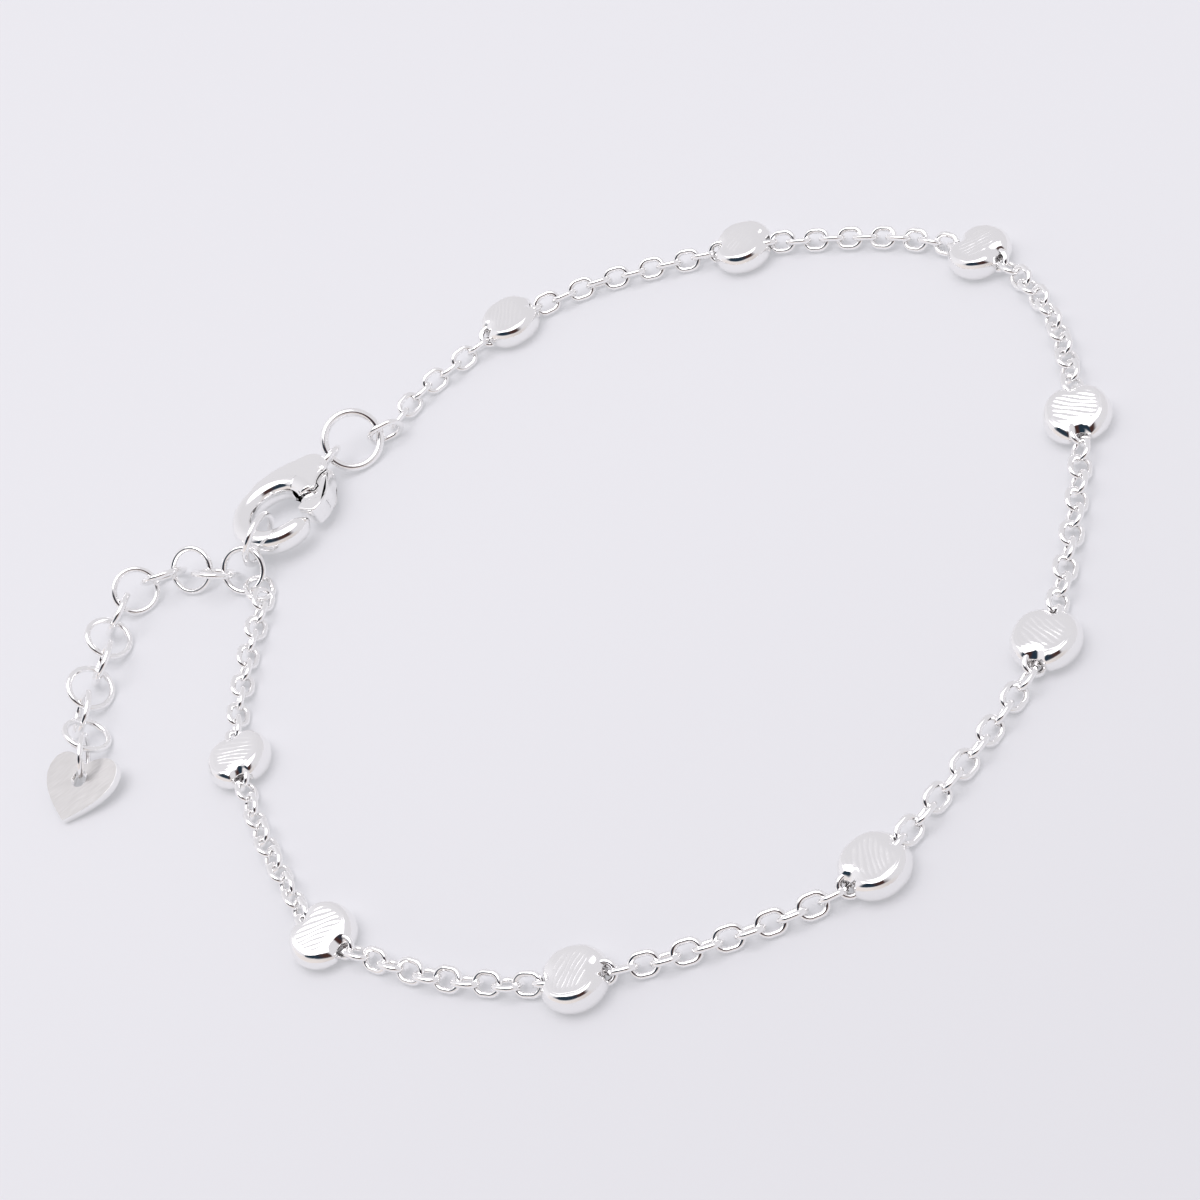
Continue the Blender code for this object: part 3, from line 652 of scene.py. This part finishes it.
def smooth_rows(rows, count, closed=False):
    """Rows of numbers read evenly along a smooth curve through the given rows."""
    rows = np.array(rows, float)
    if closed:
        padded = np.vstack([rows[-1], rows, rows[0], rows[1]])
        reads = np.linspace(0.0, len(rows), count, endpoint=False)
    else:
        padded = np.vstack([2 * rows[0] - rows[1], rows, 2 * rows[-1] - rows[-2]])
        reads = np.linspace(0.0, len(rows) - 1 - 1e-9, count)
    result = []
    for value in reads:
        index = int(value)
        t = value - index
        a, b, c, d = padded[index:index + 4]
        result.append(0.5 * (2 * b + (c - a) * t + (2 * a - 5 * b + 4 * c - d) * t ** 2
                             + (3 * b - a - 3 * c + d) * t ** 3))
    return np.array(result)


def plain_mesh(name, points, faces):
    """A mesh from points in millimetres, with its faces outward."""
    mesh = bpy.data.meshes.new(name)
    mesh.from_pydata([Vector(point) * MM for point in points], [], faces)
    shape = bmesh.new()
    shape.from_mesh(mesh)
    bmesh.ops.recalc_face_normals(shape, faces=shape.faces)
    shape.to_mesh(mesh)
    shape.free()
    shade_rounds(mesh)
    return mesh


def swept_tube(name, rows, sides, fullness, lowest=-9.0, highest=9.0):
    """Closed skin through rows of along, across, width and thickness on the clasp."""
    spots = [clasp_spot(row[0], row[1]) for row in rows]
    points = []
    for index, row in enumerate(rows):
        ahead = spots[min(index + 1, len(spots) - 1)] - spots[max(index - 1, 0)]
        side = Vector((-ahead.y, ahead.x, 0.0)).normalized()
        for step in range(sides):
            angle = 2 * pi * step / sides
            c, s = cos(angle), sin(angle)
            full = (abs(c) ** fullness + abs(s) ** fullness) ** (-1.0 / fullness)
            spot = spots[index] + side * (row[2] / 2 * c * full)
            spot.z += min(max(row[3] / 2 * s * full, lowest), highest)
            points.append(spot)
    faces = []
    for index in range(len(rows) - 1):
        for step in range(sides):
            following = (step + 1) % sides
            faces.append((index * sides + step, index * sides + following,
                          (index + 1) * sides + following, (index + 1) * sides + step))
    faces.append(tuple(range(sides - 1, -1, -1)))
    faces.append(tuple((len(rows) - 1) * sides + step for step in range(sides)))
    return plain_mesh(name, points, faces)


def rounded_end(rows, count):
    """Shrink the last rows to a rounded end."""
    rows = rows.copy()
    for step in range(count):
        share = cos(pi / 2 * (step + 0.6) / count)
        rows[-count + step, 2:] = rows[-count + step, 2:] * max(share, 0.12) ** 0.6
    return rows


def soft_plate(name, outline, thickness, edge, lift=0.0):
    """A flat plate on the clasp with a closed outline and rounded edges."""
    outline = np.array(outline)
    along = np.roll(outline, -1, 0) - np.roll(outline, 1, 0)
    inward = np.stack([-along[:, 1], along[:, 0]], 1)
    inward = inward / np.linalg.norm(inward, axis=1)[:, None]
    x, y = outline.T
    if np.sum(x * np.roll(y, -1) - np.roll(x, -1) * y) < 0:
        inward = -inward
    top = thickness / 2
    levels = []
    for step in range(7):
        angle = pi / 2 * (1 - step / 6)
        levels.append((edge * (1 - cos(angle)), top - edge * (1 - sin(angle))))
    lower = [(inset, -height) for inset, height in reversed(levels)]
    points = []
    for inset, height in levels + lower:
        for spot, way in zip(outline, inward):
            moved = spot + way * inset
            points.append(clasp_spot(moved[0], moved[1], height + lift))
    count = len(outline)
    rows = len(levels) + len(lower)
    faces = []
    for row in range(rows - 1):
        for index in range(count):
            following = (index + 1) % count
            faces.append((row * count + index, row * count + following,
                          (row + 1) * count + following, (row + 1) * count + index))
    faces.append(tuple(range(count)))
    faces.append(tuple((rows - 1) * count + index for index in range(count)))
    return plain_mesh(name, points, faces)


hook_middle = (HOOK_RADIUS + HOLE_RADIUS) / 2


def hook_part(start, end, count):
    """Rows along the hook's round wire from one angle to another."""
    rows = []
    for step in range(19):
        angle = radians(start + (end - start) * step / 18)
        share = max(0.0, (angle - radians(NARROW_FROM)) / radians(HOOK_TO - NARROW_FROM))
        narrow = 1.0 - NARROW_BY * share
        rows.append((hook_middle * cos(angle), hook_middle * sin(angle),
                     (HOOK_RADIUS - HOLE_RADIUS) * narrow, CLASP_THICK * narrow))
    return smooth_rows(rows, count)


hook_rows = rounded_end(hook_part(SLOT_TO, HOOK_TO, 120), 10)
hook_mesh = swept_tube("clasp_hook", hook_rows, HOOK_SIDES, HOOK_FULLNESS)
root_rows = rounded_end(hook_part(HOOK_FROM, SLOT_TO + 2.0, 24)[::-1], 1)[::-1]
upper_root = swept_tube("upper_root", root_rows, HOOK_SIDES, HOOK_FULLNESS, lowest=SLOT_TALL / 2)
lower_root = swept_tube("lower_root", root_rows, HOOK_SIDES, HOOK_FULLNESS, highest=-SLOT_TALL / 2)
shoulder_outline = smooth_rows(SHOULDER, 120, closed=True)
cheek_thick = (SHOULDER_THICK - SLOT_TALL) / 2
cheek_middle = (SHOULDER_THICK + SLOT_TALL) / 4
upper_cheek = soft_plate("upper_cheek", shoulder_outline, cheek_thick, CHEEK_EDGE, cheek_middle)
lower_cheek = soft_plate("lower_cheek", shoulder_outline, cheek_thick, CHEEK_EDGE, -cheek_middle)
web_outline = smooth_rows(WEB, 90, closed=True)
web_mesh = soft_plate("clasp_web", web_outline, SLOT_TALL + WEB_OVERLAP, WEB_EDGE)
loop_mesh = ring_mesh("neck_loop", *NECK_LOOP, (0.0, 0.0), CLASP_HEADING, -RING_LEAN)
_, loop_width, loop_wire = NECK_LOOP
loop_lift = (loop_width - loop_wire) / 2 * sin(radians(RING_LEAN)) + loop_wire / 2 + FLOOR_GAP
loop_place = clasp_spot(NECK_LOOP_AT, 0.0) - Vector((0.0, 0.0, loop_lift))
loop_mesh.transform(Matrix.Translation(loop_place * MM))


def rivet_mesh(name, along, across, radius, rise):
    """A low domed rivet head on the clasp's flat top."""
    profile = [(radius, -0.06), (radius, 0.0), (radius * 0.92, rise * 0.55),
               (radius * 0.7, rise * 0.85), (radius * 0.35, rise)]
    sides = 28
    points = []
    for reach, height in profile:
        for side in range(sides):
            turn = 2 * pi * side / sides
            points.append(clasp_spot(along + reach * cos(turn), across + reach * sin(turn),
                                     SHOULDER_THICK / 2 + height))
    faces = []
    for row in range(len(profile) - 1):
        for side in range(sides):
            following = (side + 1) % sides
            faces.append((row * sides + side, row * sides + following,
                          (row + 1) * sides + following, (row + 1) * sides + side))
    faces.append(tuple(range(sides)))
    faces.append(tuple((len(profile) - 1) * sides + side for side in range(sides)))
    return plain_mesh(name, points, faces)


rivet = rivet_mesh("pivot_rivet", *RIVET_AT, RIVET_RADIUS, RIVET_RISE)


def joined(name, meshes, material):
    """Several meshes as one piece."""
    shape = bmesh.new()
    for mesh in meshes:
        shape.from_mesh(mesh)
    whole = bpy.data.meshes.new(name)
    shape.to_mesh(whole)
    shape.free()
    shade_rounds(whole)
    return add_piece(name, whole, material)


clasp_parts = [hook_mesh, upper_root, lower_root, upper_cheek, lower_cheek, web_mesh, loop_mesh, rivet]
clasp_body = joined("clasp_casting", clasp_parts, silver)
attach(clasp_body, "bracelet")
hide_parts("clasp_body")


# The clasp's lever. A small cast arm with a thumb tab closes the hook on its near side. It
# turns on the rivet in the shoulder's slot, and a spring inside presses it shut.
LEVER_THICK = 1.40
LEVER_GAP = 0.10
ARM_EDGE = 0.08
RIB_EDGE = 0.12
# Outline of the lever, along and across from the hook's middle
LEVER = [
    (4.14, -0.60), (4.00, -0.48), (3.70, -0.54), (3.30, -0.70), (2.90, -0.94), (2.50, -1.20),
    (2.04, -1.26), (1.62, -1.20), (1.36, -1.22), (1.13, -1.40), (0.88, -1.58), (0.60, -1.70),
    (0.62, -2.10), (0.74, -2.70), (0.96, -3.00), (1.50, -3.08), (2.05, -2.94), (2.62, -2.70),
    (3.05, -2.36), (3.46, -1.96), (3.95, -1.62), (4.20, -1.30), (4.24, -0.90),
]
# Outline of the rib and thumb tab on it, which stay outside the shoulder when it opens
LEVER_RIB = [
    (3.92, -1.62), (3.46, -1.98), (3.05, -2.36), (2.62, -2.70), (2.05, -2.94), (1.50, -3.08),
    (0.96, -3.00), (0.76, -2.70), (0.64, -2.10), (0.62, -1.76), (0.88, -1.64), (1.20, -1.66),
    (1.50, -1.98), (1.80, -2.32), (2.28, -2.66), (2.76, -2.46), (3.28, -1.96), (3.70, -1.54),
]
arm_outline = smooth_rows(LEVER, 140, closed=True)
rib_outline = smooth_rows(LEVER_RIB, 120, closed=True)
lever_arm = soft_plate("lever_arm", arm_outline, SLOT_TALL - LEVER_GAP, ARM_EDGE)
lever_rib = soft_plate("lever_rib", rib_outline, LEVER_THICK, RIB_EDGE)
lever = joined("clasp_thumb_lever", [lever_arm, lever_rib], silver)
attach(lever, "lever")
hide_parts("clasp_lever")


# The heart tag. A flat heart blanked from thin sheet silver, with satin brushed faces, a
# polished edge and a round hole under its cleft. It leans on its ring with its tip on the surface.
HEART_TOP = (-30.98, 9.48)
HEART_HEADING = 223.0
HEART_WIDTH = 5.4
HEART_HEIGHT = 4.4
HEART_THICK = 0.5
HEART_TILT = 14.0
HEART_LOBES = (13.0, 4.0, 1.5, 0.5)
HEART_HOLE = 0.55
HOLE_BELOW_CLEFT = 0.42
HEART_STEPS = 120
HEART_EDGE = 0.07
SATIN_DARK = (0.475, 0.465, 0.46, 1.0)
SATIN_LIGHT = (0.575, 0.565, 0.56, 1.0)


def heart_height(t):
    """Height of the heart's outline, before scaling, at each turn."""
    first, second, third, fourth = HEART_LOBES
    return first * cos(t) - second * cos(2 * t) - third * cos(3 * t) - fourth * cos(4 * t)


def heart_plate():
    """The heart's plate with its hole, in millimetres, tip along X."""
    turns = [2 * pi * step / HEART_STEPS for step in range(HEART_STEPS)]
    top = max(heart_height(t) for t in turns)
    scale = HEART_HEIGHT / (top - heart_height(pi))
    shape = bmesh.new()
    outline = []
    for t in turns:
        side = sin(t) * abs(sin(t)) * HEART_WIDTH / 2
        outline.append(shape.verts.new(((top - heart_height(t)) * scale, side, 0.0)))
    face = shape.faces.new(outline)
    grown = bmesh.ops.extrude_face_region(shape, geom=[face])
    lifted = [item for item in grown["geom"] if isinstance(item, bmesh.types.BMVert)]
    bmesh.ops.translate(shape, vec=(0.0, 0.0, HEART_THICK), verts=lifted)
    bmesh.ops.recalc_face_normals(shape, faces=shape.faces)
    plate = bpy.data.meshes.new("heart_blank")
    shape.to_mesh(plate)
    shape.free()
    cleft = (top - heart_height(0.0)) * scale
    punch = bmesh.new()
    bmesh.ops.create_cone(punch, cap_ends=True, segments=48, radius1=HEART_HOLE, radius2=HEART_HOLE,
                          depth=4 * HEART_THICK,
                          matrix=Matrix.Translation((cleft + HOLE_BELOW_CLEFT + HEART_HOLE, 0.0, 0.0)))
    hole = bpy.data.meshes.new("heart_punch")
    punch.to_mesh(hole)
    punch.free()
    return plate, hole


def finished_mesh(name, blank, cutter, bevel):
    """Cut, soften the edges, and keep the result as a plain mesh."""
    base = bpy.data.objects.new(name, blank)
    tool = bpy.data.objects.new(name + "_cutter", cutter)
    for item in (base, tool):
        bpy.context.scene.collection.objects.link(item)
    cut = base.modifiers.new("hole", "BOOLEAN")
    cut.operation = "DIFFERENCE"
    cut.solver = "EXACT"
    cut.object = tool
    soft = base.modifiers.new("soft_edge", "BEVEL")
    soft.width = bevel
    soft.segments = 3
    soft.limit_method = "ANGLE"
    soft.angle_limit = radians(50)
    bpy.context.view_layer.update()
    graph = bpy.context.evaluated_depsgraph_get()
    mesh = bpy.data.meshes.new_from_object(base.evaluated_get(graph))
    for item in (base, tool):
        bpy.data.objects.remove(item, do_unlink=True)
    shade_rounds(mesh)
    return mesh


def satin_silver():
    """Brushed silver: fine lines along the heart, and a soft sheen."""
    material = bpy.data.materials.new("satin_silver")
    material.use_nodes = True
    nodes = material.node_tree.nodes
    links = material.node_tree.links
    shader = nodes["Principled BSDF"]
    shader.inputs["Metallic"].default_value = 1.0
    shader.inputs["Roughness"].default_value = 0.36
    place = nodes.new("ShaderNodeTexCoord")
    lines = nodes.new("ShaderNodeMapping")
    lines.inputs["Rotation"].default_value = (0.0, 0.0, radians(-HEART_HEADING - 52.0))
    lines.inputs["Scale"].default_value = (900.0, 16000.0, 4000.0)
    brushed = nodes.new("ShaderNodeTexNoise")
    brushed.inputs["Scale"].default_value = 1.0
    brushed.inputs["Detail"].default_value = 4.0
    links.new(place.outputs["Object"], lines.inputs["Vector"])
    links.new(lines.outputs["Vector"], brushed.inputs["Vector"])
    tone = nodes.new("ShaderNodeMapRange")
    tone.inputs["From Min"].default_value = 0.3
    tone.inputs["From Max"].default_value = 0.7
    ramp = nodes.new("ShaderNodeMix")
    ramp.data_type = "RGBA"
    ramp.inputs[6].default_value = SATIN_DARK
    ramp.inputs[7].default_value = SATIN_LIGHT
    links.new(brushed.outputs["Fac"], tone.inputs["Value"])
    links.new(tone.outputs["Result"], ramp.inputs[0])
    links.new(ramp.outputs[2], shader.inputs["Base Color"])
    bump = nodes.new("ShaderNodeBump")
    bump.inputs["Strength"].default_value = 0.35
    bump.inputs["Distance"].default_value = 0.00001
    links.new(brushed.outputs["Fac"], bump.inputs["Height"])
    links.new(bump.outputs["Normal"], shader.inputs["Normal"])
    return material


heart_mesh = finished_mesh("heart_tag_plate", *heart_plate(), HEART_EDGE)
rise = HEART_HEIGHT * sin(radians(HEART_TILT)) + FLOOR_GAP
heart_turn = leaning(Vector((*HEART_TOP, rise)), HEART_HEADING, 0.0) @ Matrix.Rotation(
    radians(HEART_TILT), 4, "Y")
heart_mesh.transform(heart_turn)
heart_mesh.transform(Matrix.Scale(MM, 4))
heart_mesh.materials.append(satin_silver())
heart_mesh.materials.append(silver)
for heart_face in heart_mesh.polygons:
    heart_face.material_index = 0 if len(heart_face.vertices) >= LARGE_FACE else 1
heart = add_piece("heart_tag_plate", heart_mesh, silver)
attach(heart, "bracelet")
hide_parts("heart_tag")


# The surface that the bracelet lies on: smooth, matt and pale, nearly white. It glows with
# painted light that lightens the shadows on it, and the glow falls off toward the front as
# painted shade, where less of the window's light would reach it.
FLOOR_HALF = 1.5
FLOOR_COLOUR = (0.42, 0.415, 0.428, 1.0)
FLOOR_PAINTED_GLOW = (0.945, 0.955, 1.0, 1.0)
FRONT_PAINTED_GLOW = 0.308
BACK_PAINTED_GLOW = 0.362


def pale_floor():
    """A flat sheet with a painted glow that lightens its shadows and falls off toward the front."""
    material = bpy.data.materials.new("pale_surface")
    material.use_nodes = True
    shader = material.node_tree.nodes["Principled BSDF"]
    shader.inputs["Base Color"].default_value = FLOOR_COLOUR
    # Painted light: the floor emits a glow of its own, which lightens the shadows on it, weaker toward
    # the front as painted shade.
    shader.inputs["Emission Color"].default_value = FLOOR_PAINTED_GLOW
    place = material.node_tree.nodes.new("ShaderNodeTexCoord")
    parts = material.node_tree.nodes.new("ShaderNodeSeparateXYZ")
    painted_falloff = material.node_tree.nodes.new("ShaderNodeMapRange")
    painted_falloff.interpolation_type = "SMOOTHSTEP"
    painted_falloff.inputs["From Min"].default_value = -0.07
    painted_falloff.inputs["From Max"].default_value = 0.02
    painted_falloff.inputs["To Min"].default_value = FRONT_PAINTED_GLOW
    painted_falloff.inputs["To Max"].default_value = BACK_PAINTED_GLOW
    material.node_tree.links.new(place.outputs["Object"], parts.inputs[0])
    material.node_tree.links.new(parts.outputs[1], painted_falloff.inputs["Value"])
    material.node_tree.links.new(painted_falloff.outputs["Result"], shader.inputs["Emission Strength"])
    shader.inputs["Roughness"].default_value = 0.85
    shader.inputs["Specular IOR Level"].default_value = 0.1
    plane = bpy.data.meshes.new("pale_surface")
    half = FLOOR_HALF
    plane.from_pydata([(-half, -half, 0.0), (half, -half, 0.0), (half, half, 0.0), (-half, half, 0.0)],
                      [], [(0, 1, 2, 3)])
    return add_piece("pale_surface", plane, material)


pale_floor()


# The light: a soft white studio with a bright overhead, a softbox behind and to the left, and
# the dark side of the room behind the camera, which gives the silver its dark bands.
WALL_LEVEL = 0.77
LEFT_LEVEL = 0.16
OVERHEAD_LEVEL = 2.2
DARK_BEARING = -130.0
WALL_COLOUR = (0.975, 0.958, 1.0, 1.0)
WARM_WALL = (0.90, 0.83, 0.81, 1.0)
DARK_COOL = (0.020, 0.038, 0.060, 1.0)
DARK_WARM = (0.075, 0.035, 0.030, 1.0)


def studio_world():
    """The room as the silver sees it, by direction."""
    world = bpy.data.worlds.new("studio")
    bpy.context.scene.world = world
    world.use_nodes = True
    tree = world.node_tree
    background = tree.nodes["Background"]
    where = tree.nodes.new("ShaderNodeTexCoord")
    parts = tree.nodes.new("ShaderNodeSeparateXYZ")
    tree.links.new(where.outputs["Generated"], parts.inputs[0])
    x, y, z = parts.outputs

    def ease(value, low, high):
        node = tree.nodes.new("ShaderNodeMapRange")
        node.interpolation_type = "SMOOTHSTEP"
        node.inputs["From Min"].default_value = low
        node.inputs["From Max"].default_value = high
        tree.links.new(value, node.inputs["Value"])
        return node.outputs["Result"]

    def blend(first, second, share):
        node = tree.nodes.new("ShaderNodeMix")
        node.data_type = "RGBA"
        for socket, value in ((node.inputs[6], first), (node.inputs[7], second)):
            if isinstance(value, tuple):
                socket.default_value = value
            else:
                tree.links.new(value, socket)
        tree.links.new(share, node.inputs[0])
        return node.outputs[2]

    flat = math_node(tree, "SQRT", math_node(tree, "MAXIMUM", math_node(
        tree, "SUBTRACT", 1.0, math_node(tree, "MULTIPLY", z, z)), 0.0001))
    room_turn = radians(DARK_BEARING)
    toward = math_node(tree, "ADD", math_node(tree, "MULTIPLY", x, cos(room_turn)),
                       math_node(tree, "MULTIPLY", y, sin(room_turn)))
    toward = math_node(tree, "DIVIDE", toward, flat)
    dark = math_node(tree, "MULTIPLY", ease(toward, 0.40, 0.72), ease(z, 0.38, 0.50))
    dark = math_node(tree, "MULTIPLY", dark, math_node(tree, "SUBTRACT", 1.0, ease(z, 0.83, 0.90)))
    warm = math_node(tree, "MULTIPLY", ease(toward, 0.1, 0.7), math_node(
        tree, "SUBTRACT", 1.0, ease(z, 0.30, 0.50)))
    overhead = math_node(tree, "MULTIPLY", ease(z, 0.86, 0.95), OVERHEAD_LEVEL)
    leftward = math_node(tree, "MULTIPLY", x, -1.0)
    left = math_node(tree, "MULTIPLY", ease(leftward, -0.2, 0.9), LEFT_LEVEL)
    level = math_node(tree, "ADD", math_node(tree, "ADD", WALL_LEVEL, left), overhead)
    room = blend(DARK_COOL, DARK_WARM, ease(x, -0.55, -0.15))
    soft_wall = blend(WALL_COLOUR, WARM_WALL, warm)
    tree.links.new(blend(soft_wall, room, dark), background.inputs["Color"])
    tree.links.new(level, background.inputs["Strength"])


studio_world()


def softbox(name, bearing, elevation, distance, size, power):
    """A large soft area light that faces the bracelet."""
    lamp = bpy.data.lights.new(name, "AREA")
    lamp.shape = "SQUARE"
    lamp.size = size
    lamp.energy = power
    lamp.color = (1.0, 0.99, 0.98)
    light = bpy.data.objects.new(name, lamp)
    away = Vector((cos(radians(bearing)) * cos(radians(elevation)),
                   sin(radians(bearing)) * cos(radians(elevation)), sin(radians(elevation))))
    light.location = away * distance
    light.rotation_euler = (-away).to_track_quat("-Z", "Y").to_euler()
    bpy.context.scene.collection.objects.link(light)


softbox("softbox_far_left", bearing=150.0, elevation=66.0, distance=0.50, size=0.30, power=0.35)


# The camera stands in front of the bracelet and looks down on it at the photograph's own
# angle, rolled to match how the bracelet lies in the picture.
LENS = 85.8
LOOK_DOWN = 43.0
LOOK_ROLL = -29.0
CAMERA_AT = (1.08, -124.1, 116.6)


def photo_camera():
    """The camera, with its axes worked out from the two angles."""
    lens = bpy.data.cameras.new("photo_camera")
    lens.sensor_width = 36.0
    lens.lens = LENS
    lens.clip_start = 0.01
    camera = bpy.data.objects.new("photo_camera", lens)
    bpy.context.scene.collection.objects.link(camera)
    down, roll = radians(LOOK_DOWN), radians(LOOK_ROLL)
    c, s = cos(roll), sin(roll)
    right = Vector((c, s * sin(down), s * cos(down)))
    up = Vector((-s, c * sin(down), c * cos(down)))
    back = Vector((0.0, -cos(down), sin(down)))
    turn = Matrix((right, up, back)).transposed().to_4x4()
    camera.matrix_world = Matrix.Translation(Vector(CAMERA_AT) * MM) @ turn
    bpy.context.scene.camera = camera


photo_camera()
bpy.context.scene.view_settings.view_transform = "Standard"
